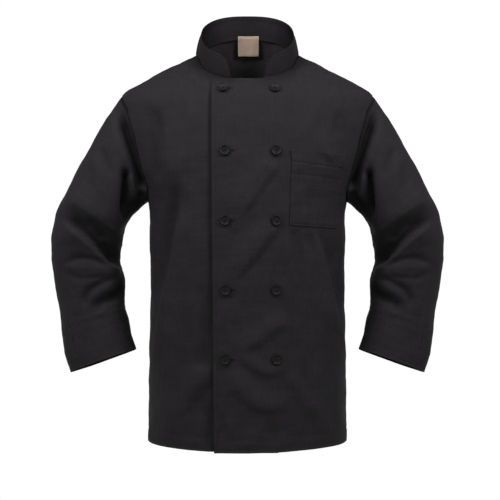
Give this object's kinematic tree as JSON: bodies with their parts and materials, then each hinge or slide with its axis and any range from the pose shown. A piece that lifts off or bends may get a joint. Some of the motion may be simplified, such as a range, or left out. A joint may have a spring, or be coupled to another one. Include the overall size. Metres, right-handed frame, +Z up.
{
  "type": "chef jacket",
  "caption": "Long-sleeved double-breasted chef jacket in black twill with stand-up collar, chest patch pocket and deep cuffs, hollow as worn.",
  "frame": {"origin": "middle of the neck, level with the points where the shoulder seams meet the collar, where the wearer's shoulders carry the jacket", "axes": "+Z up, the front faces -Y, +X is the wearer's left"},
  "size_m": [0.75, 0.2539, 0.8205],
  "materials": {
    "black_twill": "black cotton and polyester twill, soft low sheen",
    "label_tape": "plain woven beige tape",
    "black_button": "polished black melamine"
  },
  "bodies": {
    "root": {"front_left": "black_twill", "front_right": "black_twill", "back": "black_twill", "sleeve_left": "black_twill", "sleeve_right": "black_twill", "cuff_left": "black_twill", "cuff_right": "black_twill", "collar": "black_twill", "pocket": "black_twill", "pocket_top": "black_twill", "neck_label": "label_tape", "button_left_1": "black_button", "button_right_1": "black_button", "button_left_2": "black_button", "button_right_2": "black_button", "button_left_3": "black_button", "button_right_3": "black_button", "button_left_4": "black_button", "button_right_4": "black_button", "button_left_5": "black_button", "button_right_5": "black_button"}
  },
  "joints": []
}
